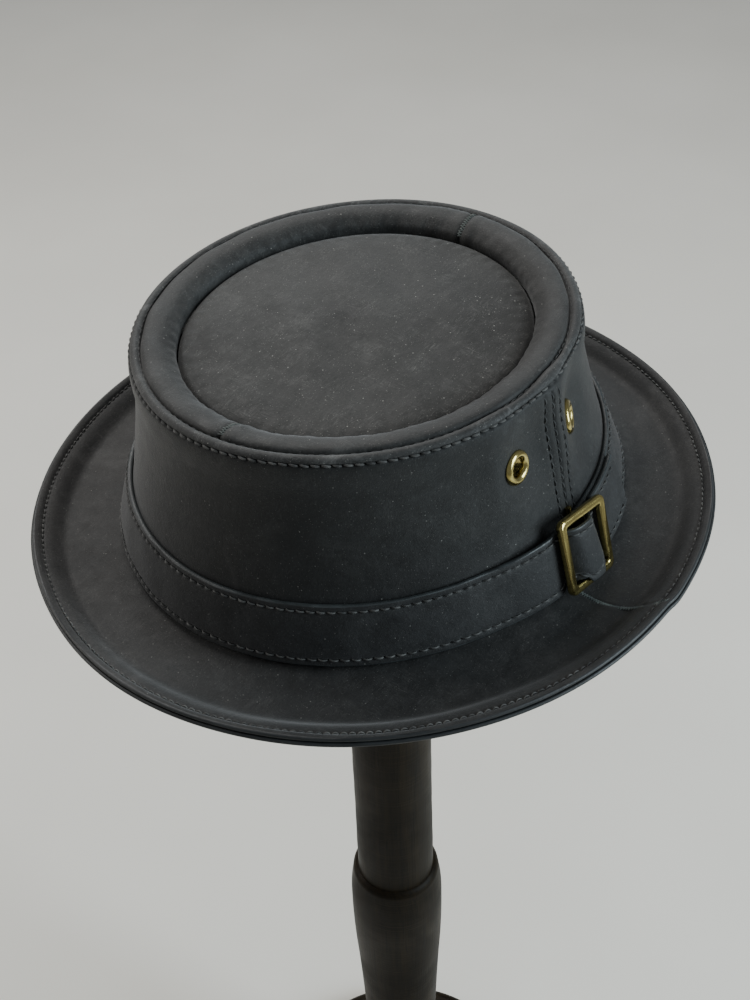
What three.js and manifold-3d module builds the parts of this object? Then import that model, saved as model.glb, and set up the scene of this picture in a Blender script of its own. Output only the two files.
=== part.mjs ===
// Leather porkpie hat on a plain turned stand, in millimetres with +Z up.
// The hat's front looks along -X, and its buckle is on the wearer's left, along -Y.
// The stand's base is centred on the origin and lies on Z = 0.
import * as THREE from "three";
import { mergeVertices } from "three/addons/utils/BufferGeometryUtils.js";
import Module from "manifold-3d";

const wasm = await Module();
wasm.setup();

// Clearances
const pieceGap = 0.3; // between pieces that touch
const turns = 56; // steps round each oval piece

// Crown
const headLength = 192; // inside the crown's foot, front to back
const headWidth = 181.5; // inside the crown's foot, side to side
const crownRise = 75.8; // crown foot to the seam of the roll
const crownLeather = 1.8;
const seamAllowance = 5; // depth of the edges turned in at a seam
const beadWidth = 4.8; // turned top edge of the crown side, measured inwards
const beadDrop = 3.4; // from the roll's seam down to the straight wall
const crownSeamAt = -89.3; // degrees round from +X

// Roll and tip
const rollWidth = 11.8;
const rollHeight = 5.8; // crest over the tip's edge
const rollLeather = 1.8;
const rollSeamFrontAt = -177;
const rollSeamBackAt = 0.2;
const tipDome = 2;
const tipRings = [1, 0.93, 0.6, 0]; // shares of the way out to the tip's edge
const tipLeather = 1.6;

// Brim
const brimLength = 254; // over the rim of the upper layer, front to back
const brimWidth = 253; // and side to side
const brimShift = 1.85; // rim's middle off the crown's axis
const brimShiftHeading = 173.6;
const brimFlare = 1.3; // how much further the rim reaches where it is most curled
const brimLeather = 1.5; // each of the two layers
const brimDip = 3; // lowest ring of the brim under the crown's foot
const rimRiseFlat = 6; // rim over the lowest ring where the brim is flattest
const rimRiseCurled = 6.6; // and where it is curled most
const curlHeading = 131; // direction of the strongest curl
const brimSeamAt = -94;

// Band and buckle
const bandWidth = 23.3;
const bandLeather = 2;
const bandFootHeight = 0.9; // band's lower edge over the crown's foot
const bandPlay = 0.3; // band off the crown side
const tailPlay = 0.3; // second layer off the first
const tailEndAt = -69;
const tailRisesFrom = 26; // degrees before the buckle where the strap leaves the wall
const tailRisesTo = 8; // and where it lies over its own other end
const buckleAt = -91.3;
const buckleTilt = -9; // degrees, right end down as seen from outside
const buckleRaise = 0.4; // buckle's middle over the band's middle
const buckleLength = 25.5;
const buckleHeight = 28.5;
const buckleBar = 3.3;
const buckleDepth = 2.8;
const buckleRound = 2.6; // outer corner radius
const bucklePinWidth = 2.4; // hidden bar behind the tail
const bucklePinDepth = 1.5;
const buckleLeg = 1.3; // from the frame back to the pin, above and below the strap

// Eyelets
const eyeletHole = 3.1; // radius
const eyeletRim = 6.1; // radius
const eyeletTube = 0.6; // wall of the tube
const eyeletCrest = 1.4; // height of the rolled rim
const eyeletRise = 53.5;
const eyeletFrontSpread = 13.6; // degrees from the crown's seam
const eyeletBackSpread = 8.6;

// Stand
const baseRadius = 78;
const baseThickness = 18;
const baseRound = 6;
const postRadius = 18.8; // just over the swelling
const postTopRadius = 17.1;
const postHeight = 566; // top of the base to the cap
const knobRadius = 23.1;
const knobHeight = 227; // widest place of the post's swelling over the base
const capRadius = 30;
const capThickness = 17.6;
const capCurve = 135; // radius of the cap's domed top
const hatLean = 3; // degrees that the hat leans on the cap
const leanHeading = 129; // direction it leans towards

// Crown side, from the foot up to the bead. rise is a share of crownRise,
// length and width are shares of the head's.
const wallRows = [
  { rise: 0.0, length: 1.0, width: 1.0 },
  { rise: 0.3, length: 0.918, width: 0.918 },
  { rise: 0.42, length: 0.892, width: 0.897 },
  { rise: 0.54, length: 0.863, width: 0.882 },
  { rise: 0.66, length: 0.838, width: 0.866 },
  { rise: 0.8, length: 0.822, width: 0.849 },
];

// Bead at the top of the crown side. inwards is a share of beadWidth,
// drop is a share of beadDrop.
const beadRows = [
  { inwards: 0.0, drop: 1.0 },
  { inwards: 0.1, drop: 0.52 },
  { inwards: 0.4, drop: 0.16 },
  { inwards: 1.0, drop: 0.0 },
];

// Roll, from the tip out to the bead. out is a share of rollWidth,
// height is a share of rollHeight.
const rollRows = [
  { out: 0.0, height: 0.0 },
  { out: 0.1, height: 0.38 },
  { out: 0.3, height: 0.8 },
  { out: 0.56, height: 1.0 },
  { out: 0.82, height: 1.02 },
  { out: 1.0, height: 0.87 },
];

// Brim's upper face. out is a share of the way to the rim, dip a share of brimDip,
// flat and curled are shares of the rim's rise where it is flattest and most curled.
const brimRows = [
  { out: 0.0, dip: 0.0, flat: 0.0, curled: 0.0 },
  { out: 0.13, dip: 0.4, flat: 0.0, curled: 0.0 },
  { out: 0.36, dip: 1.0, flat: 0.0, curled: 0.0 },
  { out: 0.64, dip: 1.0, flat: 0.1, curled: 0.04 },
  { out: 0.78, dip: 1.0, flat: 0.44, curled: 0.3 },
  { out: 0.935, dip: 1.0, flat: 0.84, curled: 0.8 },
  { out: 1.0, dip: 1.0, flat: 1.0, curled: 1.0 },
];

// Post's foot. up is a share of knobHeight over the base, radius is a share of postRadius.
const postFootRows = [
  { up: 0.0, radius: 1.5 },
  { up: 0.05, radius: 1.42 },
  { up: 0.12, radius: 1.08 },
  { up: 0.3, radius: 1.0 },
];

// Post's swelling. up is a share of knobHeight from the widest place, swell is a share
// of what knobRadius has over postRadius.
const knobRows = [
  { up: -0.45, swell: 0.23 },
  { up: -0.26, swell: 0.56 },
  { up: -0.1, swell: 0.93 },
  { up: 0.0, swell: 1.0 },
  { up: 0.08, swell: 0.9 },
  { up: 0.13, swell: 0.58 },
  { up: 0.14, swell: 0.0 },
];

const degrees = (angle) => THREE.MathUtils.degToRad(angle);

// Materials
const tipLook = new THREE.MeshStandardMaterial({ color: 0x3a3937, roughness: 0.78, metalness: 0 });
const sideLook = new THREE.MeshStandardMaterial({ color: 0x302f2e, roughness: 0.8, metalness: 0 });
const brimLook = new THREE.MeshStandardMaterial({ color: 0x373533, roughness: 0.8, metalness: 0 });
const underLook = new THREE.MeshStandardMaterial({ color: 0x2b2a29, roughness: 0.85, metalness: 0 });
const bandLook = new THREE.MeshStandardMaterial({ color: 0x2e2d2d, roughness: 0.75, metalness: 0 });
const agedBrass = new THREE.MeshStandardMaterial({ color: 0x9a8650, roughness: 0.35, metalness: 1 });
const darkWood = new THREE.MeshStandardMaterial({ color: 0x4a3f33, roughness: 0.6, metalness: 0 });

// Joins equal corners and drops triangles that have shrunk to a line.
function weld(geometry) {
  const bare = geometry.clone();
  bare.deleteAttribute("normal");
  bare.deleteAttribute("uv");
  const merged = mergeVertices(bare, 1e-4);
  const corners = merged.index.array;
  const kept = [];
  for (let i = 0; i < corners.length; i += 3) {
    const [a, b, c] = [corners[i], corners[i + 1], corners[i + 2]];
    if (a !== b && b !== c && c !== a) kept.push(a, b, c);
  }
  merged.setIndex(kept);
  return merged;
}

function signedVolume(geometry) {
  const place = geometry.attributes.position;
  const corners = geometry.index.array;
  const [a, b, c] = [new THREE.Vector3(), new THREE.Vector3(), new THREE.Vector3()];
  let volume = 0;
  for (let i = 0; i < corners.length; i += 3) {
    a.fromBufferAttribute(place, corners[i]);
    b.fromBufferAttribute(place, corners[i + 1]);
    c.fromBufferAttribute(place, corners[i + 2]);
    volume += a.dot(b.cross(c)) / 6;
  }
  return volume;
}

function facingOut(geometry) {
  if (signedVolume(geometry) < 0) geometry.setIndex([...geometry.index.array].reverse());
  return geometry;
}

function toManifold(geometry) {
  const clean = facingOut(weld(geometry));
  const vertProperties = new Float32Array(clean.attributes.position.array);
  const triVerts = new Uint32Array(clean.index.array);
  return new wasm.Manifold(new wasm.Mesh({ numProp: 3, vertProperties, triVerts }));
}

function toGeometry(manifold) {
  const mesh = manifold.getMesh();
  const geometry = new THREE.BufferGeometry();
  geometry.setAttribute("position", new THREE.BufferAttribute(mesh.vertProperties, 3));
  geometry.setIndex(new THREE.BufferAttribute(mesh.triVerts, 1));
  return geometry;
}

function makeMesh(name, geometry, material) {
  const clean = facingOut(weld(geometry));
  clean.computeVertexNormals();
  const mesh = new THREE.Mesh(clean, material);
  mesh.name = name;
  return mesh;
}

// A section point is an oval's half length a, half width b and its height z.
const radiusOf = (point) => (point.a + point.b) / 2;
const shifted = (point, outwards, up) => ({ a: point.a + outwards, b: point.b + outwards, z: point.z + up });

// Moves an open section sideways by a distance, to the right of its direction.
function offsetSection(section, distance) {
  const directions = section.slice(1).map((point, i) => {
    const run = radiusOf(point) - radiusOf(section[i]);
    const climb = point.z - section[i].z;
    const length = Math.hypot(run, climb);
    return { run: run / length, climb: climb / length };
  });
  return section.map((point, i) => {
    const before = directions[Math.max(i - 1, 0)];
    const after = directions[Math.min(i, directions.length - 1)];
    const side = { out: before.climb + after.climb, up: -before.run - after.run };
    const mitre = distance / (1 + before.run * after.run + before.climb * after.climb);
    return shifted(point, side.out * mitre, side.up * mitre);
  });
}

// Leather of one thickness on the left of an open section's direction.
function thicken(section, thickness) {
  return [...section, ...offsetSection(section, -thickness).reverse()];
}

// Carries a closed section round the Z axis, all the way or from one angle to another.
function sweepOval(sectionAt, from = 0, to = 360, steps = turns) {
  const whole = to - from === 360;
  const rings = whole ? steps : steps + 1;
  const positions = [];
  const indices = [];
  let count = 0;
  for (let ring = 0; ring < rings; ring += 1) {
    const angle = degrees(from + ((to - from) * ring) / steps);
    const section = sectionAt(angle);
    count = section.length;
    for (const point of section) {
      positions.push(point.a * Math.cos(angle), point.b * Math.sin(angle), point.z);
    }
  }
  for (let ring = 0; ring < steps; ring += 1) {
    const next = (ring + 1) % rings;
    for (let i = 0; i < count; i += 1) {
      const j = (i + 1) % count;
      const [a, b] = [ring * count + i, ring * count + j];
      const [c, d] = [next * count + j, next * count + i];
      indices.push(a, b, c, a, c, d);
    }
  }
  if (!whole) {
    const flat = sectionAt(degrees(from)).map((point) => new THREE.Vector2(radiusOf(point), point.z));
    const last = steps * count;
    for (const [a, b, c] of THREE.ShapeUtils.triangulateShape([...flat], [])) {
      const along = THREE.ShapeUtils.area([flat[a], flat[b], flat[c]]) * THREE.ShapeUtils.area(flat) > 0;
      const [p, q] = along ? [b, c] : [c, b];
      indices.push(a, q, p, last + a, last + p, last + q);
    }
  }
  const geometry = new THREE.BufferGeometry();
  geometry.setAttribute("position", new THREE.Float32BufferAttribute(positions, 3));
  geometry.setIndex(indices);
  return geometry;
}

// Degrees that a gap takes up at a given radius.
const gapAngle = (gap, radius) => THREE.MathUtils.radToDeg(gap / radius);

// Ovals of the crown
const innerWall = wallRows.map((row) => ({
  a: (row.length * headLength) / 2,
  b: (row.width * headWidth) / 2,
  z: row.rise * crownRise,
}));
innerWall[0].z = pieceGap;
const wallTop = innerWall[innerWall.length - 1];
const outerWall = offsetSection(innerWall, crownLeather);
const shoulder = { ...shifted(wallTop, crownLeather, 0), z: crownRise };
const beadPoints = beadRows.map((row) => shifted(shoulder, -row.inwards * beadWidth, -row.drop * beadDrop));
const rollSeam = shifted(shoulder, -beadWidth, 0);
const tipEdge = shifted(rollSeam, -rollWidth, -rollRows[rollRows.length - 1].height * rollHeight);

function crownSide() {
  const turnedIn = shifted(rollSeam, 0, -seamAllowance);
  const face = [...outerWall, ...beadPoints, turnedIn];
  const section = thicken(face, crownLeather);
  const slit = gapAngle(pieceGap / 2, radiusOf(wallTop));
  const wall = sweepOval(() => section, crownSeamAt + slit, crownSeamAt + 360 - slit);
  let solid = toManifold(wall);
  const holeRadius = eyeletHole + eyeletTube + pieceGap;
  for (const spread of [-eyeletFrontSpread, eyeletBackSpread]) {
    const drill = new THREE.CylinderGeometry(holeRadius, holeRadius, crownLeather * 6, 16);
    drill.applyMatrix4(eyeletPlace(spread));
    solid = solid.subtract(toManifold(drill));
  }
  return makeMesh("crown_side", toGeometry(solid), sideLook);
}

function rollHalf(name, from, to) {
  const over = rollRows.map((row) => shifted(tipEdge, row.out * rollWidth, row.height * rollHeight));
  const first = shifted(over[0], pieceGap / 2, 0);
  const last = shifted(over[over.length - 1], -pieceGap, 0);
  const face = [shifted(first, 0, -seamAllowance), first, ...over.slice(1, -1), last,
    shifted(last, 0, -seamAllowance)];
  const section = thicken(face.reverse(), rollLeather);
  const slit = gapAngle(pieceGap / 2, radiusOf(tipEdge));
  return makeMesh(name, sweepOval(() => section, from + slit, to - slit, turns / 2), tipLook);
}

function crownTip() {
  const edge = shifted(tipEdge, -pieceGap / 2, 0);
  const face = tipRings.map((share) => ({
    a: edge.a * share,
    b: edge.b * share,
    z: edge.z + tipDome * (1 - share * share),
  }));
  const section = thicken([shifted(face[0], 0, -seamAllowance), ...face], tipLeather);
  const centre = section.filter((point) => radiusOf(point) < 1);
  for (const point of centre) Object.assign(point, { a: 0, b: 0 });
  return makeMesh("crown_tip", sweepOval(() => section), tipLook);
}

// Brim's upper face at an angle round the hat
function brimFace(angle) {
  const curl = Math.cos(angle - degrees(curlHeading)) ** 2;
  const shift = brimShift * Math.cos(angle - degrees(brimShiftHeading)) + brimFlare * curl;
  const foot = { a: headLength / 2, b: headWidth / 2 };
  return brimRows.map((row) => {
    const flat = rimRiseFlat * row.flat;
    const curled = rimRiseCurled * row.curled;
    return {
      a: foot.a + row.out * (brimLength / 2 + shift - foot.a),
      b: foot.b + row.out * (brimWidth / 2 + shift - foot.b),
      z: -brimDip * row.dip + flat + (curled - flat) * curl,
    };
  });
}

function brimTop() {
  const slit = gapAngle(pieceGap / 2, headWidth / 2);
  const sectionAt = (angle) => {
    const face = brimFace(angle);
    return [...face, ...offsetSection(face, brimLeather).reverse()];
  };
  const layer = sweepOval(sectionAt, brimSeamAt + slit, brimSeamAt + 360 - slit);
  return makeMesh("brim_top", layer, brimLook);
}

function brimUnder() {
  const sectionAt = (angle) => {
    const face = offsetSection(brimFace(angle), brimLeather + pieceGap);
    const low = offsetSection(brimFace(angle), 2 * brimLeather + pieceGap);
    return [...face, ...low.reverse()];
  };
  return makeMesh("brim_under", sweepOval(sectionAt), underLook);
}

// Crown side's outer oval at a height
function wallAt(height) {
  const rows = [...outerWall, beadPoints[0]];
  let above = 1;
  while (above < rows.length - 1 && rows[above].z < height) above += 1;
  const [low, high] = [rows[above - 1], rows[above]];
  const share = (height - low.z) / (high.z - low.z);
  const { lerp } = THREE.MathUtils;
  return { a: lerp(low.a, high.a, share), b: lerp(low.b, high.b, share), z: height };
}

// Band's slope, from its lower to its upper edge
const bandFoot = wallAt(bandFootHeight);
const bandSlope = (() => {
  const top = wallAt(bandFootHeight + bandWidth);
  return Math.atan2(radiusOf(bandFoot) - radiusOf(top), bandWidth);
})();
const bandTop = wallAt(bandFootHeight + bandWidth * Math.cos(bandSlope));
const tailLift = bandLeather + tailPlay;

// Band's section when its inner face stands a given distance off the crown side
function bandSection(distance) {
  const out = Math.cos(bandSlope);
  const up = Math.sin(bandSlope);
  const face = [bandFoot, bandTop].map((point) => shifted(point, distance * out, distance * up));
  const outside = face.map((point) => shifted(point, bandLeather * out, bandLeather * up));
  return [...face, ...outside.reverse()];
}

function hatBand() {
  const pinHalf = bucklePinWidth / 2 + (buckleHeight / 2) * Math.abs(Math.sin(degrees(buckleTilt)));
  const start = buckleAt + gapAngle(pinHalf + pieceGap, radiusOf(bandTop));
  const end = tailEndAt + 360;
  const liftFrom = buckleAt + 360 - tailRisesFrom;
  const liftTo = buckleAt + 360 - tailRisesTo;
  const sectionAt = (angle) => {
    const turn = THREE.MathUtils.radToDeg(angle);
    return bandSection(bandPlay + tailLift * THREE.MathUtils.smoothstep(turn, liftFrom, liftTo));
  };
  return makeMesh("hat_band", sweepOval(sectionAt, start, end, turns + 16), bandLook);
}

// Places a piece on the crown: X runs right along the wall, Z out of it and Y up it.
function placeOnWall(angle, point, slope) {
  const outward = new THREE.Vector3(point.b * Math.cos(angle), point.a * Math.sin(angle), 0).normalize();
  const right = new THREE.Vector3(-outward.y, outward.x, 0);
  const normal = outward.clone().multiplyScalar(Math.cos(slope));
  normal.z = Math.sin(slope);
  const up = new THREE.Vector3().crossVectors(normal, right);
  const place = new THREE.Matrix4().makeBasis(right, up, normal);
  place.setPosition(point.a * Math.cos(angle), point.b * Math.sin(angle), point.z);
  return place;
}

function buckle() {
  const bevel = buckleBar * 0.22;
  const frame = roundedRectangle(buckleLength, buckleHeight, buckleRound, bevel);
  const window = roundedRectangle(
    buckleLength - 2 * buckleBar, buckleHeight - 2 * buckleBar, buckleRound * 0.4, -bevel);
  frame.holes.push(window);
  const ring = new THREE.ExtrudeGeometry(frame, {
    depth: buckleDepth - 2 * bevel,
    bevelThickness: bevel,
    bevelSize: bevel,
    bevelSegments: 1,
    curveSegments: 3,
  });
  ring.translate(0, 0, bevel);
  const back = bandPlay + tailLift + bandLeather + pieceGap;
  const pinDepthAt = bandLeather + 2 * pieceGap + bucklePinDepth;
  const tilt = Math.abs(degrees(buckleTilt));
  const strapReach = bandWidth / 2 + buckleRaise + (bucklePinWidth / 2) * Math.sin(tilt);
  const pinReach = strapReach / Math.cos(tilt) + pieceGap;
  const pin = new THREE.BoxGeometry(bucklePinWidth, 2 * (pinReach + buckleLeg), bucklePinDepth);
  pin.translate(0, 0, bucklePinDepth / 2 - pinDepthAt);
  let solid = toManifold(ring).add(toManifold(pin));
  for (const side of [-1, 1]) {
    const leg = new THREE.BoxGeometry(bucklePinWidth, buckleLeg, pinDepthAt + buckleDepth / 2);
    leg.translate(0, side * (pinReach + buckleLeg / 2), buckleDepth / 4 - pinDepthAt / 2);
    solid = solid.add(toManifold(leg));
  }
  const middle = wallAt(bandFootHeight + (bandWidth * Math.cos(bandSlope)) / 2);
  const place = placeOnWall(degrees(buckleAt), middle, bandSlope);
  place.multiply(new THREE.Matrix4().makeTranslation(0, buckleRaise, 0));
  place.multiply(new THREE.Matrix4().makeRotationZ(degrees(buckleTilt)));
  place.multiply(new THREE.Matrix4().makeTranslation(0, 0, back));
  const mesh = makeMesh("buckle", toGeometry(solid), agedBrass);
  mesh.applyMatrix4(place);
  return mesh;
}

// Rectangle with round corners, its edge moved in by a margin
function roundedRectangle(length, height, round, margin) {
  const [x, y] = [length / 2 - margin, height / 2 - margin];
  const radius = Math.max(round - margin, 0.3);
  const shape = new THREE.Shape();
  shape.moveTo(-x + radius, -y);
  shape.lineTo(x - radius, -y);
  shape.absarc(x - radius, -y + radius, radius, -Math.PI / 2, 0);
  shape.lineTo(x, y - radius);
  shape.absarc(x - radius, y - radius, radius, 0, Math.PI / 2);
  shape.lineTo(-x + radius, y);
  shape.absarc(-x + radius, y - radius, radius, Math.PI / 2, Math.PI);
  shape.lineTo(-x, -y + radius);
  shape.absarc(-x + radius, -y + radius, radius, Math.PI, 1.5 * Math.PI);
  return shape;
}

// An eyelet's Y axis stands out of the wall, at an angle from the crown's seam.
function eyeletPlace(spread) {
  const point = wallAt(eyeletRise);
  const [low, high] = [wallAt(eyeletRise - eyeletRim), wallAt(eyeletRise + eyeletRim)];
  const slope = Math.atan2(radiusOf(low) - radiusOf(high), 2 * eyeletRim);
  const place = placeOnWall(degrees(crownSeamAt + spread), point, slope);
  return place.multiply(new THREE.Matrix4().makeRotationX(Math.PI / 2));
}

function eyelet(name, spread) {
  const tubeOuter = eyeletHole + eyeletTube;
  const profile = [];
  const arcSteps = 5;
  const middle = (eyeletHole + eyeletRim) / 2;
  const half = (eyeletRim - eyeletHole) / 2;
  for (let i = 0; i <= arcSteps; i += 1) {
    const angle = Math.PI - (Math.PI * i) / arcSteps;
    profile.push([middle + half * Math.cos(angle), pieceGap + eyeletCrest * Math.sin(angle)]);
  }
  const inside = -crownLeather - 2 * pieceGap;
  const splay = (tubeOuter + eyeletRim) / 2;
  profile.push([tubeOuter, pieceGap], [tubeOuter, inside], [splay, inside]);
  profile.push([splay, inside - eyeletTube], [eyeletHole, inside - eyeletTube]);
  profile.push(profile[0]);
  const ring = new THREE.LatheGeometry(profile.map(([r, h]) => new THREE.Vector2(r, h)), 14);
  const mesh = makeMesh(name, ring, agedBrass);
  mesh.applyMatrix4(eyeletPlace(spread));
  return mesh;
}

// Turned pieces of the stand, from rows of radius and height
function turned(name, rows, segments) {
  const profile = rows.map(([radius, height]) => new THREE.Vector2(radius, height));
  const geometry = new THREE.LatheGeometry(profile, segments);
  geometry.rotateX(Math.PI / 2);
  return makeMesh(name, geometry, darkWood);
}

function standBase() {
  const rows = [[0, 0], [baseRadius - baseRound / 3, 0], [baseRadius, baseRound / 3]];
  const arcSteps = 3;
  for (let i = 0; i <= arcSteps; i += 1) {
    const angle = (Math.PI / 2) * (i / arcSteps);
    rows.push([
      baseRadius - baseRound + baseRound * Math.cos(angle),
      baseThickness - baseRound + baseRound * Math.sin(angle),
    ]);
  }
  rows.push([0, baseThickness]);
  return turned("stand_base", rows, 32);
}

const postFoot = baseThickness + pieceGap;
const postTop = baseThickness + postHeight;

function standPost() {
  const swell = knobRadius - postRadius;
  const rows = [[0, postFoot]];
  for (const row of postFootRows) rows.push([row.radius * postRadius, postFoot + row.up * knobHeight]);
  for (const row of knobRows) {
    rows.push([postRadius + swell * row.swell, postFoot + knobHeight * (1 + row.up)]);
  }
  rows.push([postTopRadius, postTop], [0, postTop]);
  return turned("stand_post", rows, 20);
}

const capFoot = postTop + pieceGap;
const capCrown = capFoot + capThickness;

function standCap() {
  const rows = [[0, capFoot], [postRadius * 1.2, capFoot]];
  const rings = 4;
  const rim = (radius) => capCrown - radius ** 2 / (2 * capCurve);
  rows.push([capRadius, rim(capRadius) - capThickness / 3]);
  for (let i = rings; i >= 0; i -= 1) {
    const radius = (capRadius * i) / rings;
    rows.push([radius, rim(radius)]);
  }
  return turned("stand_cap", rows, 20);
}

// The hat leans on the cap: the tip's underside touches the cap's dome.
function placeHat(hat) {
  const heading = degrees(leanHeading);
  const axis = new THREE.Vector3(-Math.sin(heading), Math.cos(heading), 0);
  hat.quaternion.setFromAxisAngle(axis, degrees(hatLean));
  const up = new THREE.Vector3(0, 0, 1).applyQuaternion(hat.quaternion);
  const underside = tipEdge.z + tipDome - tipLeather;
  const seat = new THREE.Vector3(0, 0, capCrown - capCurve);
  hat.position.copy(seat.addScaledVector(up, capCurve + pieceGap - underside));
}

const hat = new THREE.Group();
hat.add(crownTip());
hat.add(rollHalf("roll_left", rollSeamFrontAt, rollSeamBackAt));
hat.add(rollHalf("roll_right", rollSeamBackAt, rollSeamFrontAt + 360));
hat.add(crownSide());
hat.add(brimTop());
hat.add(brimUnder());
hat.add(hatBand());
hat.add(buckle());
hat.add(eyelet("eyelet_front", -eyeletFrontSpread));
hat.add(eyelet("eyelet_back", eyeletBackSpread));
placeHat(hat);

const stand = new THREE.Group();
stand.add(standBase());
stand.add(standPost());
stand.add(standCap());

const group = new THREE.Group();
group.add(stand);
group.add(hat);
export default group;
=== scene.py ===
from math import atan2, copysign, cos, pi, radians, sin, tan, tau

import bpy
import numpy as np
from mathutils import Matrix, Quaternion, Vector


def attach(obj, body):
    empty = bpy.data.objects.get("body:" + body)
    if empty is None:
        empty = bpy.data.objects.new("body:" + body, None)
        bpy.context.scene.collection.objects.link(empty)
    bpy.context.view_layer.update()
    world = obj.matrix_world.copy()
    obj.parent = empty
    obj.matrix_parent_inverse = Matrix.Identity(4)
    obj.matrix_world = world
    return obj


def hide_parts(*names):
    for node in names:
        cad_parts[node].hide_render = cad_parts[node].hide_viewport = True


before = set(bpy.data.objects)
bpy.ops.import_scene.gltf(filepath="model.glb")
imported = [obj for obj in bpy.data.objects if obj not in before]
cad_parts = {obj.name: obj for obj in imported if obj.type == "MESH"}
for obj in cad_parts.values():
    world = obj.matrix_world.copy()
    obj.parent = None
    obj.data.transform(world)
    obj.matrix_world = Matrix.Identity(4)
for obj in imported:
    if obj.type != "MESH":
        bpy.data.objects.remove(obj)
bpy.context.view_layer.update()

# A black leather porkpie hat on its turned wooden stand. Sizes are in millimetres in the
# hat's own frame, whose Z = 0 is the crown's foot. They become metres in make_object.
MM = 0.001
RNG = np.random.default_rng(11)
GAP = 0.3  # between pieces that touch
MEASURED_AT = -139  # heading at which sections are measured, towards the camera
EDGE_ROOM = 0.7  # between a face's relief and the leather's cut edge
WALL_FOOT = -0.4  # presses into the brim, so that no light passes under it

# Camera
CAMERA_AT = (-322.2, -251.2, 882.5)
CAMERA_AIM = (-1.8, 2.2, 519.8)
CAMERA_ROLL = -2.4  # degrees
CAMERA_LENS = 67.4  # over a 36 mm wide sensor

# Stage, in metres
FLOOR_REACH = 6
LIGHTS_OVER = 0.53  # height that the lights' elevations start from
LIGHTS_AIM = (0, 0, 0.52)

# Stand
BASE_RADIUS = 78
BASE_THICKNESS = 18
BASE_ROUND = 6
BASE_GROOVE = [(1.4, 0), (0.8, 0.8), (0, 1.1), (-0.8, 0.8), (-1.4, 0)]  # off its middle, depth
POST_RADIUS = 18.8
POST_TOP_RADIUS = 17.1
POST_HEIGHT = 566
KNOB_RADIUS = 23.1
KNOB_HEIGHT = 227
CAP_RADIUS = 30
CAP_THICKNESS = 17.6
CAP_CURVE = 135

# Hat on the stand
HAT_LEAN = 3
LEAN_HEADING = 129

# Crown
HEAD_LENGTH = 192
HEAD_WIDTH = 181.5
CROWN_RISE = 75.8
CROWN_LEATHER = 1.8
BEAD_WIDTH = 4.8
BEAD_DROP = 3.4
CROWN_SEAM_AT = -89.3
SEAM_ROW_OFFSET = 3.6  # outer stitch rows off the crown's seam
# Stitch rows at the crown's seam: side, groove's and holes' depth, threads' sinking
SEAM_ROWS = {"front": (-1, 0.34, 0.45, 0.34), "middle": (0, 0, 0.2, 0.5),
             "back": (1, 0.34, 0.45, 0.34)}
SEAM_PUFF = 0.34  # how far the seam's folded edges lift the wall
SEAM_HALF = 5.2  # half the width of the lifted strip
DENTS_AT = 57  # millimetres up the wall
DENTS_REACH = 19
# Ridges and grooves across the leather: height, place and width of each
SEAM_DENTS = [(1.3, -28, 7), (-1.5, -12.5, 7), (1.9, 3.5, 6), (-2.7, 18.5, 7.5)]
CROWN_SEAM_GROOVE = [(-0.75, 0, 0.42)]

# Roll and tip
ROLL_WIDTH = 11.8
ROLL_HEIGHT = 5.8
ROLL_END_SHARE = 0.87  # height of the roll's outer end
ROLL_LEATHER = 1.8
ROLL_SEAMS_AT = (-177, 0.2)
ROLL_SEAM_GAP = 0.16  # half of it
OVAL_STEPS = 420  # round the tip and each roll
TIP_DOME = 2
TIP_LEATHER = 1.6
TIP_INSET = 0.15
TIP_LIFT = 0.45
ROLL_END_RIDGES = [(-0.5, 0, 0.9), (0.22, 3.2, 2)]
TIP_FLANGE = 3.8  # length of the tip's edge under the roll

# Brim
BRIM_LENGTH = 254
BRIM_WIDTH = 253
BRIM_SHIFT = 1.85
BRIM_SHIFT_HEADING = 173.6
BRIM_FLARE = 1.3
BRIM_LEATHER = 1.5
BRIM_DIP = 3
RIM_RISE_FLAT = 6
RIM_RISE_CURLED = 6.6
CURL_HEADING = 131
BRIM_SEAM_FROM = -95.2  # degrees, at the crown's foot
BRIM_SEAM_TO = -90  # at the rim
RIM_FOLDS = [(-0.95, 12.5, 3), (0.45, 7.8, 2.2), (0.35, 18.5, 3.5)]
RIM_ROW_RIDGES = [(0.16, 1.8, 1.1), (0.14, -2.2, 1.4)]  # either side of the rim's stitch row
BRIM_SEAM_RIDGES = [(0.2, 0, 2.2), (-0.55, 0, 0.45)]
RIM_KINK = 1.1  # the rim's step beyond the brim's seam
RIM_KINK_FADE = 9  # degrees
RIM_ROW_INSET = 3.7  # stitch row inside the rim
RIM_ROW_RADIUS = 122.5
BRIM_SEAM_RADIUS = 108
RIM_TRUE_WIDTH = 14  # whose rows keep their distances all round

# Band and buckle
BAND_WIDTH = 23.3
BAND_LEATHER = 2
BAND_FOOT = 0.9
BAND_PLAY = 0.3
TAIL_PLAY = 0.3
TAIL_END_AT = -69
TAIL_RISES_FROM = 26
TAIL_RISES_TO = 8
BAND_ROW_INSET = 2.8  # stitch rows inside the band's edges
BAND_DOME = 0.3
WINDOW_BULGE = 5.5  # of the strap in the buckle's window
WINDOW_LEAN = 1.1  # further off the back bar than off the front one
WINDOW_SQUEEZE = 0.1  # share of the strap's width lost there
WINDOW_OVERLAP = 2.6  # over the lower bar
BUCKLE_AT = -91.3
BUCKLE_TILT = -9
BUCKLE_RAISE = 0.4
BUCKLE_LENGTH = 25.5
BUCKLE_HEIGHT = 28.5
BUCKLE_BAR = 3.3
BUCKLE_DEPTH = 2.8
BUCKLE_ROUND = 2.6
PIN_WIDTH = 2.4
PIN_DEPTH = 1.5
PIN_LEG = 1.3

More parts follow.
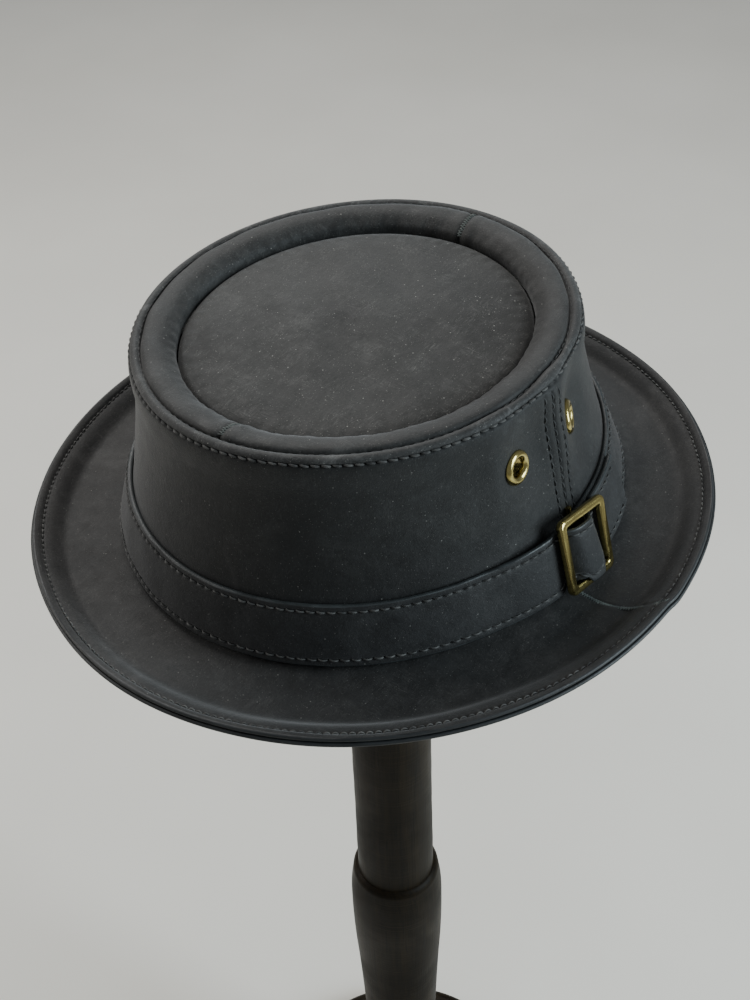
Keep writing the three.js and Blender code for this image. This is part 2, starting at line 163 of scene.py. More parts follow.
# Eyelets
EYELET_HOLE = 3.1
EYELET_RIM = 6.1
EYELET_TUBE = 0.6
EYELET_CREST = 1.4
EYELET_RISE = 53.5
EYELET_CUT = 3.95  # radius of its hole in the leather
HOLE_DEPTH = 9  # how deep that hole is cut
EYELET_SPREADS = {"eyelet_front": -13.6, "eyelet_back": 8.6}

# Threads
GROOVE_WIDTH = 0.85
HOLE_ACROSS = 0.5
HOLE_ALONG = 0.6
THREAD_RINGS = 7
THREAD_SIDES = 7
BEAD_PITCH = 3.5
CREASE_ROW_OFF = 5.1  # along the bead, from its outer stitch row
BAND_PITCH = 3.6
BRIM_PITCH = 2.7
SEAM_PITCH = 3.7
ROLL_ZIGZAGS = 24
BRIM_ZIGZAGS = 58
TACK_ZIGZAGS = 13

# Crown wall's inner face: rise, length and width shares
WALL_ROWS = [
    (0, 1, 1), (0.3, 0.918, 0.918), (0.42, 0.892, 0.897), (0.54, 0.863, 0.882),
    (0.66, 0.838, 0.866), (0.8, 0.822, 0.849)]

# Crown wall's top: share of the bead's width inwards, height over the roll's seam
BEAD_ROWS = [
    (0, -BEAD_DROP), (0.06, -2), (0.16, -1.05), (0.36, 0.1), (0.6, 0.42), (0.85, 0),
    (0.98, -1.2), (1, -4.6)]

# Roll from the tip outwards: shares of its width and height
ROLL_ROWS = [
    (0.03, -0.5), (0.005, 0.05), (0.02, 0.28), (0.19, 0.645), (0.36, 0.87), (0.58, 1),
    (0.8, 1.02), (0.94, 0.92), (0.99, 0.68), (1, 0.1)]

# Tip from its edge under the roll inwards: share of the way out, drop below the dome
TIP_ROWS = [
    (1.045, 6.3), (1.015, 6.2), (0.996, 5.2), (0.997, 2.5), (0.98, 1.05), (0.945, 0.35),
    (0.88, 0.06), (0.7, 0), (0.45, 0), (0.2, 0), (0.004, 0)]

# Brim's upper face: shares of the way out, the dip, and the rise where it curls least and most
BRIM_ROWS = [
    (0, 0, 0, 0), (0.13, 0.4, 0, 0), (0.36, 1, 0, 0), (0.64, 1, 0.1, 0.04),
    (0.78, 1, 0.44, 0.3), (0.935, 1, 0.84, 0.8), (1, 1, 1, 1)]

# Post: heights as shares of KNOB_HEIGHT, with shares of POST_RADIUS or of the swelling
POST_FOOT = [(0, 1.5), (0.05, 1.42), (0.12, 1.08)]
POST_SWELL = [(0.3, 0), (0.55, 0.23), (0.74, 0.56), (0.9, 0.93), (1, 1), (1.08, 0.9), (1.13, 0.58)]
KNOB_STEP = 1.14  # top of the swelling, where the post steps in


def turned_point(radius, heading, height):
    angle = radians(heading)
    return Vector((radius * cos(angle), radius * sin(angle), height))


# Place of the hat: its tip's underside touches the cap's dome.
TIP_EDGE_DROP = ROLL_END_SHARE * ROLL_HEIGHT
CAP_TOP = BASE_THICKNESS + POST_HEIGHT + GAP + CAP_THICKNESS


def hat_place():
    lean = radians(HAT_LEAN)
    up = turned_point(sin(lean), LEAN_HEADING, cos(lean))
    underside = CROWN_RISE - TIP_EDGE_DROP + TIP_DOME - TIP_LEATHER
    origin = Vector((0, 0, CAP_TOP - CAP_CURVE)) + up * (CAP_CURVE + GAP - underside)
    axis = turned_point(1, LEAN_HEADING + 90, 0)
    return Matrix.Translation(origin) @ Matrix.Rotation(lean, 4, axis)


HAT = np.array(hat_place())


# Curves
def unit(vectors):
    return vectors / np.maximum(np.linalg.norm(vectors, axis=-1, keepdims=True), 1e-9)


def bump(value):
    """One at zero, and softly less on both sides."""
    return np.exp(-(value**2))


def ridges(value, rows):
    return sum(height * bump((value - place) / width) for height, place, width in rows)


def ease(share):
    share = np.clip(share, 0, 1)
    return share**2 * (3 - 2 * share)


def even_angles(count, start=0, more=0):
    """Angles round the whole hat in count equal steps. more goes on past the start."""
    return radians(start) + tau * np.arange(count + more) / count


def wrapped(turn):
    """Angle between minus and plus half a turn."""
    return (turn + pi) % tau - pi


def hermite(t, low, high, go, stop):
    """Curve from low to high, with the slope go at its start and stop at its end."""
    start = (2 * t**3 - 3 * t**2 + 1) * low + (t**3 - 2 * t**2 + t) * go
    return start + (3 * t**2 - 2 * t**3) * high + (t**3 - t**2) * stop


# Meshes
def link(piece):
    bpy.context.scene.collection.objects.link(piece)


def wobble(points):
    """Slow unevenness of hand-worked leather, the same for all pieces."""
    x, y, z = points[..., 0], points[..., 1], points[..., 2]
    radius = np.maximum(np.hypot(x, y), 20)
    out = 0.34 * np.sin(x / 29 + 1.3) * np.cos(z / 24 + y / 60)
    out += 0.26 * np.sin(y / 17 + 0.7) * np.cos(x / 21 - z / 33)
    lift = 0.3 * np.sin(x / 23 + 2) * np.sin(y / 27 + 0.5)
    return points + np.stack([out * x / radius, out * y / radius, lift], -1)


def signed_volume(points, faces):
    """Six times the volume, positive when the faces look out."""
    total = 0
    for face in faces:
        corners = points[face]
        for i in range(1, face.shape[1] - 1):
            cross = np.cross(corners[:, i], corners[:, i + 1])
            total += np.einsum("ij,ij->", corners[:, 0], cross)
    return total


def make_object(name, points, faces, materials, picks=None, in_hat=True, sharp=40):
    """A piece from points in millimetres and a list of face arrays, one per corner count."""
    if signed_volume(points, faces) < 0:
        faces = [face[:, ::-1] for face in faces]
    if in_hat:
        points = wobble(points) @ HAT[:3, :3].T + HAT[:3, 3]
    mesh = bpy.data.meshes.new(name)
    polygons = [tuple(corner) for face in faces for corner in face.tolist()]
    mesh.from_pydata((points * MM).tolist(), [], polygons)
    for material in materials:
        mesh.materials.append(material)
    if picks is not None:
        mesh.polygons.foreach_set("material_index", np.concatenate(picks).astype(np.int32))
    mesh.polygons.foreach_set("use_smooth", np.ones(len(polygons), bool))
    mesh.set_sharp_from_angle(angle=radians(sharp))
    mesh.update()
    piece = bpy.data.objects.new(name, mesh)
    link(piece)
    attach(piece, "root")
    return piece


def tube_faces(rings, count, closed):
    """Quads between rings of count points, each ring joined to the next."""
    ring = np.arange(rings if closed else rings - 1)[:, None]
    spot = np.arange(count)[None, :]
    after = (ring + 1) % rings
    beside = (spot + 1) % count
    low, high = ring * count, after * count
    return np.stack([low + spot, low + beside, high + beside, high + spot], -1).reshape(-1, 4)


# Smooth surfaces through rows of ovals
class Face:
    """A surface through rows of ovals. s is millimetres along the section."""

    def __init__(self, control, side=1, true_end=0):
        self.control, self.side, self.true_end = control, side, true_end
        self.knots = self.lengths(control(np.radians([MEASURED_AT])))[0]
        self.length = self.knots[-1]

    @staticmethod
    def lengths(rows):
        """Length along the section up to each row, at each angle."""
        flat = np.stack([(rows[..., 0] + rows[..., 1]) / 2, rows[..., 2]], -1)
        steps = np.linalg.norm(np.diff(flat, axis=-2), axis=-1)
        return np.concatenate([np.zeros_like(steps[..., :1]), np.cumsum(steps, -1)], -1)

    def knots_at(self, rows):
        """Knots at each angle. The last true_end millimetres keep their true length."""
        if not self.true_end:
            return np.broadcast_to(self.knots, (len(rows), len(self.knots)))
        lengths = self.lengths(rows)
        total = lengths[:, -1:]
        left = total - lengths
        rest = (self.length - self.true_end) / (total - self.true_end)
        left = np.where(left < self.true_end, left, self.true_end + (left - self.true_end) * rest)
        return self.length - left

    def oval(self, angle, s):
        rows = self.control(angle)
        knots = self.knots_at(rows)
        spans = np.diff(knots, axis=-1)
        slopes = np.diff(rows, axis=-2) / spans[..., None]
        before, after = spans[:, :-1, None], spans[:, 1:, None]
        inner = (slopes[:, :-1] * after + slopes[:, 1:] * before) / (before + after)
        tangents = np.concatenate([slopes[:, :1], inner, slopes[:, -1:]], 1)
        spot = np.arange(len(s))
        i = np.clip((knots <= s[:, None]).sum(1) - 1, 0, spans.shape[1] - 1)
        span = spans[spot, i][:, None]
        t = (s - knots[spot, i])[:, None] / span
        go, stop = tangents[spot, i] * span, tangents[spot, i + 1] * span
        return hermite(t, rows[spot, i], rows[spot, i + 1], go, stop)

    def point(self, angle, s):
        angle, s = np.broadcast_arrays(np.asarray(angle, float), np.asarray(s, float))
        oval = self.oval(angle.ravel(), s.ravel())
        turn = angle.ravel()
        place = np.stack([oval[:, 0] * np.cos(turn), oval[:, 1] * np.sin(turn), oval[:, 2]], -1)
        return place.reshape(angle.shape + (3,))

    def frame(self, angle, s):
        """Point, then unit directions along the section, round the hat and out of the face."""
        small, turn = 0.05, 0.0008
        low, high = np.maximum(s - small, 0), np.minimum(s + small, self.length)
        along = self.point(angle, high) - self.point(angle, low)
        round_ = self.point(angle + turn, s) - self.point(angle - turn, s)
        normal = np.cross(round_, along) * self.side
        return self.point(angle, s), unit(along), unit(round_), unit(normal)


def offset_rows(rows, distance):
    """Moves rows of (a, b, z) by a distance to the right of their direction."""
    flat = np.stack([(rows[:, 0] + rows[:, 1]) / 2, rows[:, 2]], 1)
    steps = unit(np.diff(flat, axis=0))
    before = np.vstack([steps[:1], steps])
    after = np.vstack([steps, steps[-1:]])
    side = np.stack([before[:, 1] + after[:, 1], -before[:, 0] - after[:, 0]], 1)
    mitre = distance / (1 + (before * after).sum(1))
    moved = side * mitre[:, None]
    return rows + np.stack([moved[:, 0], moved[:, 0], moved[:, 1]], 1)


def still(rows):
    """Control rows that stay the same all round."""
    return lambda angle: np.broadcast_to(rows, (len(angle),) + rows.shape)


def stations(face, room, step, fine=(), fine_step=None, reach=None, end_room=None):
    """Places along a face's section, closer together near each fine one."""
    start, end = room, face.length - (end_room or room)
    places = list(np.linspace(start, end, round((end - start) / step) + 1))
    for middle in fine:
        low, high = max(start, middle - reach), min(end, middle + reach)
        places = [p for p in places if not low - fine_step / 2 < p < high + fine_step / 2]
        places += list(np.linspace(low, high, round((high - low) / fine_step) + 1))
    return np.array(sorted(places))


def row_relief(along, off, pitch, groove, hole):
    """Groove with a dimple at each hole. along counts stitches, off is in millimetres."""
    to_hole = np.abs(along - np.round(along)) * pitch
    dimple = bump(off / HOLE_ACROSS) * bump(to_hole / HOLE_ALONG)
    return -groove * bump(off / GROOVE_WIDTH) - hole * dimple


def flat_relief(_, s):
    return np.zeros_like(s)


def fade(s, face, first, last, least=0):
    """Share of the relief that is left near a face's first and last row."""
    return np.clip(s / first, 0, 1) * np.clip((face.length - s) / last, least, 1)


def leather_piece(name, face, thickness, angles, places, relief, materials, whole=True,
                  inner_every=3, inner_relief=flat_relief, inner_fine=(0, 0), worn_and_lit_from=None,
                  holes=()):
    """A leather wall: its outer face with relief, rounded cut edges and a smoother inner face.

    holes are (matrix, radius) of round openings, whose edges something else covers."""
    edge, caps = min(0.45 * thickness, 0.7), 4
    angle, s = np.meshgrid(angles, places, indexing="ij")
    point, along, _, normal = face.frame(angle, s)
    outer = point + normal * relief(angle, s)[..., None]
    fine = np.flatnonzero((places > inner_fine[0]) & (places < inner_fine[1]))
    coarse = np.arange(0, len(places), inner_every)
    picked = np.unique(np.concatenate([coarse, fine, [len(places) - 1]]))
    inner = point + normal * (inner_relief(angle, s) - thickness)[..., None]
    inner = inner[:, picked[::-1]]

    def cap(column, sign, turns):
        reach = along[:, [column]] * (sign * edge * np.sin(turns))[:, None]
        sink = normal[:, [column]] * (thickness * (1 - np.cos(turns)) / 2)[:, None]
        return point[:, [column]] + reach - sink

    turns = pi * np.arange(1, caps + 1) / (caps + 1)
    loop = np.concatenate([outer, cap(-1, 1, turns), inner, cap(0, -1, turns[::-1])], 1)
    rings, count = loop.shape[:2]
    faces = [tube_faces(rings, count, whole)]
    spot = np.arange(count)
    slot = np.where(spot < len(places) - 1, 0, 1)
    slot[(spot >= len(places) + caps) & (spot < count - caps - 1)] = 2
    # Past this place the face takes the bead's leather, painted paler as wear and as a painted
    # highlight.
    if worn_and_lit_from is not None:
        slot[np.flatnonzero(places[:-1] > worn_and_lit_from)] = 3
    picks = [np.tile(slot, len(faces[0]) // count)]
    for matrix, radius in holes:
        turned = np.array(matrix.inverted())
        middle = loop.reshape(-1, 3)[faces[0]].mean(1) @ turned[:3, :3].T + turned[:3, 3]
        far = np.abs(middle[:, 2]) > HOLE_DEPTH
        kept = far | (np.hypot(middle[:, 0], middle[:, 1]) > radius)
        faces[0], picks[0] = faces[0][kept], picks[0][kept]
    if not whole:
        faces.append(np.stack([spot[::-1], (rings - 1) * count + spot]))
        picks.append(np.ones(2, int))
    return make_object(name, loop.reshape(-1, 3), faces, materials, picks)


# Threads
def threads(name, starts, ends, normals, material, radius=0.3, lift=0.42, sink=0.35):
    """Threads that rise out of the leather at their starts and go in at their ends."""
    rings, sides, count = THREAD_RINGS, THREAD_SIDES, len(starts)
    share = np.linspace(0, 1, rings)
    rise = (sink + lift) * np.sin(pi * share) ** 0.75 - sink
    run = ends - starts
    middle = starts[:, None] + run[:, None] * share[None, :, None]
    middle = middle + normals[:, None] * rise[None, :, None]
    side = unit(np.cross(run, normals))
    up = np.cross(side[:, None], unit(np.gradient(middle, axis=1)))
    spread = 1 + 0.1 * RNG.standard_normal((count, 1))
    thick = radius * (0.72 + 0.28 * np.sin(pi * share)) * spread
    turn = even_angles(sides)[:, None]
    ring = side[:, None, None] * np.cos(turn) * 1.12 + up[:, :, None] * np.sin(turn)
    points = middle[:, :, None] + ring * thick[:, :, None, None]
    quads = tube_faces(rings, sides, False)
    spot = np.arange(sides)
    caps = np.stack([spot[::-1], (rings - 1) * sides + spot])
    base = (np.arange(count) * rings * sides)[:, None, None]
    faces = [(quads[None] + base).reshape(-1, 4), (caps[None] + base).reshape(-1, sides)]
    piece = make_object(name, points.reshape(-1, 3), faces, [material])


def stitch_row(name, face, angles, s, material, slant, sink_in=0.16, **shape):
    """One stitch between each pair of holes along a row."""
    point, along, _, normal = face.frame(angles, np.broadcast_to(s, angles.shape))
    holes = point - normal * sink_in
    inset = (holes[1:] - holes[:-1]) * 0.1
    jitter = RNG.normal(0, 0.04, (len(angles) - 1, 1))
    across = along[:-1] * (slant + jitter)
    starts, ends = holes[:-1] + inset + across, holes[1:] - inset - across
    threads(name, starts, ends, normal[:-1], material, **shape)


def zigzag(name, face, angles, places, half, material, **shape):
    """Thread to and fro across a butted seam."""
    point, _, round_, normal = face.frame(angles, places)
    sign = np.where(np.arange(len(angles)) % 2 == 0, 1, -1)[:, None]
    spread = half * (1 + 0.15 * RNG.standard_normal((len(angles), 1)))
    ends = point + round_ * sign * spread - normal * 0.1
    threads(name, ends[:-1], ends[1:], normal[:-1], material, **shape)


# Node materials
class Nodes:
    """Short names for building one material's nodes."""

    def __init__(self, name):
        self.material = bpy.data.materials.new(name)
        self.material.use_nodes = True
        self.tree = self.material.node_tree
        self.shader = self.tree.nodes["Principled BSDF"]
        self.place = self.tree.nodes.new("ShaderNodeTexCoord").outputs["Object"]

    def node(self, kind, inputs=(), **settings):
        node = self.tree.nodes.new("ShaderNode" + kind)
        for key, value in settings.items():
            setattr(node, key, value)
        for key, value in dict(inputs).items():
            self.put(node.inputs[key], value)
        return node

    def put(self, socket, value):
        if isinstance(value, bpy.types.NodeSocket):
            self.tree.links.new(value, socket)
        else:
            socket.default_value = value

    def stretch(self, scale, turn=(0, 0, 0)):
        turn = tuple(radians(v) for v in turn)
        inputs = {"Vector": self.place, "Scale": scale, "Rotation": turn}
        return self.node("Mapping", inputs).outputs[0]

    def noise(self, scale, detail=3, rough=0.55, place=None, warp=0):
        inputs = {"Vector": place or self.place, "Scale": scale, "Detail": detail,
                  "Roughness": rough, "Distortion": warp}
        return self.node("TexNoise", inputs).outputs["Fac"]

    def cells(self, scale):
        return self.node("TexVoronoi", {"Vector": self.place, "Scale": scale})

    def fit(self, value, low, high, to_low=0, to_high=1):
        inputs = {"Value": value, "From Min": low, "From Max": high,
                  "To Min": to_low, "To Max": to_high}
        return self.node("MapRange", inputs, clamp=True).outputs[0]

    def calc(self, operation, first, second=0):
        return self.node("Math", {0: first, 1: second}, operation=operation).outputs[0]

    def times(self, first, second):
        return self.calc("MULTIPLY", first, second)

    def plus(self, first, second):
        return self.calc("ADD", first, second)

    def mix(self, share, first, second, blend="MIX"):
        node = self.node("Mix", data_type="RGBA", blend_type=blend, clamp_factor=True)
        for i, value in ((0, share), (6, first), (7, second)):
            self.put(node.inputs[i], (*value, 1) if isinstance(value, tuple) else value)
        return node.outputs[2]

    def finish(self, colour, rough, height=None, strength=0.5, reach=0.0002, **fixed):
        self.put(self.shader.inputs["Base Color"], colour)
        self.put(self.shader.inputs["Roughness"], rough)
        if height is not None:
            inputs = {"Height": height, "Strength": strength, "Distance": reach}
            self.put(self.shader.inputs["Normal"], self.node("Bump", inputs).outputs[0])
        for key, value in fixed.items():
            self.shader.inputs[key.replace("_", " ")].default_value = value
        return self.material


# Scratches: heading in degrees, and the noise's scales, drawn out along that heading
SCRATCHES = [(28, (110, 620, 110)), (-52, (620, 90, 110)), (75, (120, 740, 130)),
             (8, (130, 840, 130))]
SCRATCH_WIDTH = 0.028  # in units of the noise
# Dust: cells to a metre, speck's share of a cell, cells left out, strength
SPECKS = [(430, 0.12, 0.5, 1.5), (1250, 0.2, 0.3, 0.8)]
DUST_COLOUR = (0.24, 0.235, 0.215)


def leather_material(name, deep, warm, dust, scuffs, wear_and_highlight):
    """Waxed nubuck: cloudy tone, fine nap, pale dust specks and thin scratches."""
    n = Nodes(name)
    clouds = n.fit(n.noise(16, 4, 0.6, warp=0.4), 0.36, 0.64)
    colour = n.mix(clouds, deep, warm)
    mottle = n.fit(n.noise(150, 6, 0.72), 0.32, 0.68, 0.6, 1.5)
    nap = n.fit(n.noise(1100, 3, 0.7), 0.3, 0.7, 0.66, 1.36)
    tone = n.times(mottle, nap)
    grey = n.node("CombineColor", {0: tone, 1: tone, 2: tone}).outputs[0]
    colour = n.mix(1, colour, grey, "MULTIPLY")
    pale = tuple(3 * c + 0.03 for c in warm)
    # Pale patches of wear; on the bead their large amount is also a painted highlight.
    rub_and_highlight = n.times(n.fit(n.noise(38, 5, 0.7, warp=0.8), 0.56, 0.78), wear_and_highlight * 0.35)
    colour = n.mix(rub_and_highlight, colour, pale)
    for spin, stretch in SCRATCHES:
        lines = n.noise(1, 2, 0.5, n.stretch(stretch, (0, 0, spin)), 1.3)
        away = n.calc("ABSOLUTE", n.calc("SUBTRACT", lines, 0.5))
        thin = n.fit(away, 0, SCRATCH_WIDTH, 1, 0)
        where = n.fit(n.noise(120, 2, 0.5, n.stretch((1, 1, 1), (spin, 0, 0))), 0.53, 0.66)
        colour = n.mix(n.times(n.times(thin, where), scuffs * 0.6), colour, pale)
    for scale, size, rare, share in SPECKS:
        specks = n.cells(scale)
        close = n.fit(specks.outputs["Distance"], 0.5 * size, size, 1, 0)
        pick = n.node("SeparateColor", {0: specks.outputs["Color"]}).outputs[0]
        shown = n.times(n.times(close, n.fit(pick, rare, 1)), dust * share)
        colour = n.mix(shown, colour, DUST_COLOUR)
    rough = n.fit(mottle, 0.6, 1.5, 0.54, 0.74)
    grain = n.plus(n.times(n.noise(1900, 3, 0.6), 0.7), n.noise(420, 4, 0.65))
    return n.finish(colour, rough, grain, 0.5, 0.0003, Specular_IOR_Level=0.3,
                    Sheen_Weight=0.21, Sheen_Roughness=0.45)


def edge_material(name, deep, pale):
    """Cut leather edge: blue-grey, with streaks of fibre."""
    n = Nodes(name)
    streaks = n.fit(n.noise(1, 3, 0.6, n.stretch((90, 90, 1500))), 0.3, 0.7)
    colour = n.mix(streaks, deep, pale)
    pits = n.noise(1500, 3)
    return n.finish(colour, n.fit(pits, 0.3, 0.7, 0.42, 0.62), pits, 0.4, 0.0002)


def flesh_material():
    """Suede side of the leather, inside the hat."""
    n = Nodes("leather_flesh")
    fibre = n.noise(1300, 4, 0.7, warp=1.2)
    cloud = n.noise(24, 3)
    colour = n.mix(n.fit(fibre, 0.3, 0.7), (0.012, 0.0115, 0.011), (0.034, 0.031, 0.029))
    colour = n.mix(n.fit(cloud, 0.4, 0.65, 0, 0.35), colour, (0.045, 0.04, 0.036))
    return n.finish(colour, 0.92, fibre, 0.7, 0.0004, Sheen_Weight=0.3, Sheen_Roughness=0.6)


def thread_material(name, deep, pale):
    """Twisted thread, mottled between a deep and a pale tone; on the dark threads the pale patches
    are painted glints.
    """
    n = Nodes(name)
    twist = n.noise(2600, 2, 0.5)
    tone = n.fit(n.noise(210, 3, 0.6), 0.35, 0.65)
    colour = n.mix(tone, deep, pale)
    return n.finish(colour, 0.62, twist, 0.6, 0.00012, Sheen_Weight=0.15)


def brass_material():
    """Antique brass: dark patina, bright where it is rubbed."""
    n = Nodes("aged_brass")
    patina = n.fit(n.noise(160, 5, 0.7, warp=0.6), 0.4, 0.66)
    colour = n.mix(n.times(patina, 0.6), (0.57, 0.475, 0.18), (0.2, 0.155, 0.05))
    fine = n.noise(1400, 3, 0.6)
    brushed = n.noise(1, 3, 0.6, n.stretch((160, 160, 2400)))
    rough = n.fit(n.plus(patina, n.times(fine, 0.4)), 0, 1.4, 0.12, 0.27)
    height = n.plus(brushed, n.times(fine, 0.6))
    return n.finish(colour, rough, height, 0.06, 0.00005, Metallic=1)


def wood_material():
    """Dark stained turned wood: long grain, pores and fine turning marks."""
    n = Nodes("stand_wood")
    grain = n.noise(1, 6, 0.65, n.stretch((150, 150, 7)), 1.4)
    pores = n.noise(1, 3, 0.6, n.stretch((900, 900, 40)))
    marks = n.noise(1, 3, 0.6, n.stretch((8, 8, 1100)))
    blotch = n.noise(18, 4, 0.6, warp=0.5)
    colour = n.mix(n.fit(grain, 0.34, 0.66), (0.0036, 0.0024, 0.001), (0.016, 0.0102, 0.0038))
    colour = n.mix(n.fit(blotch, 0.42, 0.62, 0, 0.7), colour, (0.004, 0.003, 0.0016))
    colour = n.mix(n.fit(marks, 0.52, 0.7, 0, 0.4), colour, (0.028, 0.018, 0.0075))
    colour = n.mix(n.fit(pores, 0.58, 0.68, 0, 0.7), colour, (0.0022, 0.0016, 0.0012))
    height = n.plus(n.times(grain, 0.5), n.plus(pores, n.times(marks, 0.8)))
    rough = n.fit(blotch, 0.35, 0.65, 0.42, 0.58)
    return n.finish(colour, rough, height, 0.3, 0.0003, Specular_IOR_Level=0.1)


# Leathers: deep and warm tone, then how much dust, how many scuffs and how much wear and painted
# highlight
# Their tones differ partly as painted light: the tip, roll and bead, which face up, are painted
# lighter, and the crown wall, whose front lies in shade, is painted darker.
TIP_LOOK, CROWN_LOOK, BEAD_LOOK, ROLL_LOOK, BRIM_LOOK, BAND_LOOK = (
    leather_material(*look) for look in (
        ("tip_leather", (0.0058, 0.0058, 0.0051), (0.0235, 0.0231, 0.0213), 1.1, 0.65, 1),
        ("crown_leather", (0.005, 0.0054, 0.0055), (0.014, 0.0143, 0.0139), 0.5, 0.3, 0.9),
        ("bead_leather", (0.0165, 0.0168, 0.0166), (0.035, 0.0352, 0.0342), 1.1, 0.8, 2.6),
        ("roll_leather", (0.0138, 0.014, 0.0136), (0.0262, 0.0262, 0.0252), 0.7, 0.4, 0.7),
        ("brim_leather", (0.0098, 0.0102, 0.0104), (0.0222, 0.0213, 0.0202), 0.5, 0.35, 1),
        ("band_leather", (0.0086, 0.0091, 0.0095), (0.0152, 0.0156, 0.0156), 0.45, 0.3, 0.6)))
EDGE_LOOK = edge_material("leather_edge", (0.006, 0.0068, 0.0074), (0.02, 0.023, 0.0245))
# The band's cut edges are painted lighter than the others, as a painted highlight along its lit top
# edge; their blue-grey is the leather's own.
BAND_EDGE_LOOK = edge_material("band_edge", (0.012, 0.0145, 0.0155), (0.038, 0.045, 0.047))
FLESH_LOOK = flesh_material()
# The pale tones of dark_thread, rim_thread and bead_thread are painted glints; pale_thread's is the
# thread's own teal-grey.
DARK_THREAD, RIM_THREAD, PALE_THREAD, BEAD_THREAD = (
    thread_material(*look) for look in (
        ("dark_thread", (0.006, 0.0066, 0.007), (0.03, 0.031, 0.03)),
        ("rim_thread", (0.02, 0.021, 0.021), (0.12, 0.118, 0.11)),
        ("pale_thread", (0.028, 0.037, 0.036), (0.12, 0.142, 0.132)),
        ("bead_thread", (0.0055, 0.0059, 0.006), (0.07, 0.069, 0.065))))
BRASS = brass_material()
WOOD = wood_material()


# Crown wall
def wall_rows():
    inner = np.array([(length * HEAD_LENGTH / 2, width * HEAD_WIDTH / 2, rise * CROWN_RISE)
                      for rise, length, width in WALL_ROWS])
    inner[0, 2] = WALL_FOOT
    return offset_rows(inner, CROWN_LEATHER)


WALL = wall_rows()
SHOULDER = np.array([WALL[-1, 0], WALL[-1, 1], CROWN_RISE])
RING_SEAM = SHOULDER - [BEAD_WIDTH, BEAD_WIDTH, 0]
TIP_EDGE = RING_SEAM - [ROLL_WIDTH, ROLL_WIDTH, TIP_EDGE_DROP]


def crown_rows():
    bead = [SHOULDER + [-share * BEAD_WIDTH, -share * BEAD_WIDTH, height]
            for share, height in BEAD_ROWS]
    return np.vstack([WALL, bead])


CROWN = Face(still(crown_rows()))
BEAD_ROW_S = CROWN.knots[len(WALL) + 1] + 0.35
WALL_TOP_S = CROWN.knots[len(WALL)]
EYELET_S = np.interp(EYELET_RISE, WALL[:, 2], CROWN.knots[:len(WALL)])
SEAM_RADIUS = (WALL[3, 0] + WALL[3, 1]) / 2


def off_seam(angle):
    """Distance from the crown's seam round the wall."""
    return wrapped(angle - radians(CROWN_SEAM_AT)) * SEAM_RADIUS


def dents(angle, s):
    """Soft folds that the stiff seam draws into the wall beside it."""
    return ridges(off_seam(angle), SEAM_DENTS) * bump((s - DENTS_AT) / DENTS_REACH)


def eyelet_place(spread):
    """Matrix of an eyelet on the dented wall: Z runs out of the wall."""
    angle = radians(CROWN_SEAM_AT + spread)

    def skin(turn, step):
        at = angle + turn / SEAM_RADIUS, EYELET_S + step
        point, _, _, normal = CROWN.frame(*at)
        return Vector(point + normal * dents(*at))

    reach = EYELET_RIM - 1
    right = (skin(reach, 0) - skin(-reach, 0)).normalized()
    normal = right.cross(skin(0, reach) - skin(0, -reach)).normalized()
    place = Matrix((right, normal.cross(right), normal)).transposed().to_4x4()
    place.translation = skin(0, 0)
    return place


def crown_side():
    bead_count = round(tau * (SHOULDER[0] + SHOULDER[1]) / 2 / BEAD_PITCH)
    angles = even_angles(bead_count * 5, CROWN_SEAM_AT)
    places = stations(CROWN, EDGE_ROOM, 1.2, [BEAD_ROW_S], 0.34, 1.4)
    seam_count = round((WALL_TOP_S - 1.5) / SEAM_PITCH)

    def relief(angle, s):
        off = off_seam(angle)
        along = (angle - angles[0]) / tau * bead_count
        height = row_relief(along, s - BEAD_ROW_S, BEAD_PITCH, 0.45, 0.8) + dents(angle, s)
        seam = SEAM_PUFF / (1 + np.exp((np.abs(off) - SEAM_HALF) * 1.3))
        seam = seam + ridges(off, CROWN_SEAM_GROOVE)
        for side, groove, hole, _ in SEAM_ROWS.values():
            beside = off - side * SEAM_ROW_OFFSET
            seam = seam + row_relief(s / SEAM_PITCH, beside, SEAM_PITCH, groove, hole)
        seam = seam * np.clip((WALL_TOP_S + 1.2 - s) / 2.5, 0, 1)
        ripple = 0.06 * np.sin((s + 0.5 * off) * 3.3) * bump((off + 8) / 4) * bump((s - 47) / 8)
        return (height + seam + ripple) * np.clip((CROWN.length - s) / 3, 0, 1)

    holes = [(eyelet_place(spread), EYELET_CUT) for spread in EYELET_SPREADS.values()]
    piece = leather_piece("crown_wall", CROWN, CROWN_LEATHER, angles, places, relief,
                          [CROWN_LOOK, EDGE_LOOK, FLESH_LOOK, BEAD_LOOK], inner_every=4,
                          inner_relief=dents, inner_fine=(EYELET_S - 6, EYELET_S + 6),
                          worn_and_lit_from=BEAD_ROW_S + 0.4, holes=holes)
    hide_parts("crown_side")
    holes = even_angles(bead_count, CROWN_SEAM_AT, 1)
    stitch_row("bead_stitches", CROWN, holes, BEAD_ROW_S, BEAD_THREAD, slant=0.2, radius=0.34,
               lift=0.14, sink_in=0.26)
    holes = holes + 0.5 * (holes[1] - holes[0])
    stitch_row("crease_stitches", CROWN, holes, BEAD_ROW_S + CREASE_ROW_OFF, DARK_THREAD,
               slant=0.05, radius=0.17, lift=0.1, sink=0.2, sink_in=0.05)
    s = SEAM_PITCH * np.arange(1, seam_count + 1)
    for label, (side, _, _, sunk) in SEAM_ROWS.items():
        angle = radians(CROWN_SEAM_AT) + side * SEAM_ROW_OFFSET / SEAM_RADIUS
        point, _, _, normal = CROWN.frame(angle, s)
        lifted = point + normal * (dents(angle, s)[:, None] + SEAM_PUFF - sunk)
        inset = (lifted[1:] - lifted[:-1]) * 0.12
        threads(f"seam_stitches_{label}", lifted[:-1] + inset, lifted[1:] - inset, normal[:-1],
                DARK_THREAD, radius=0.26)


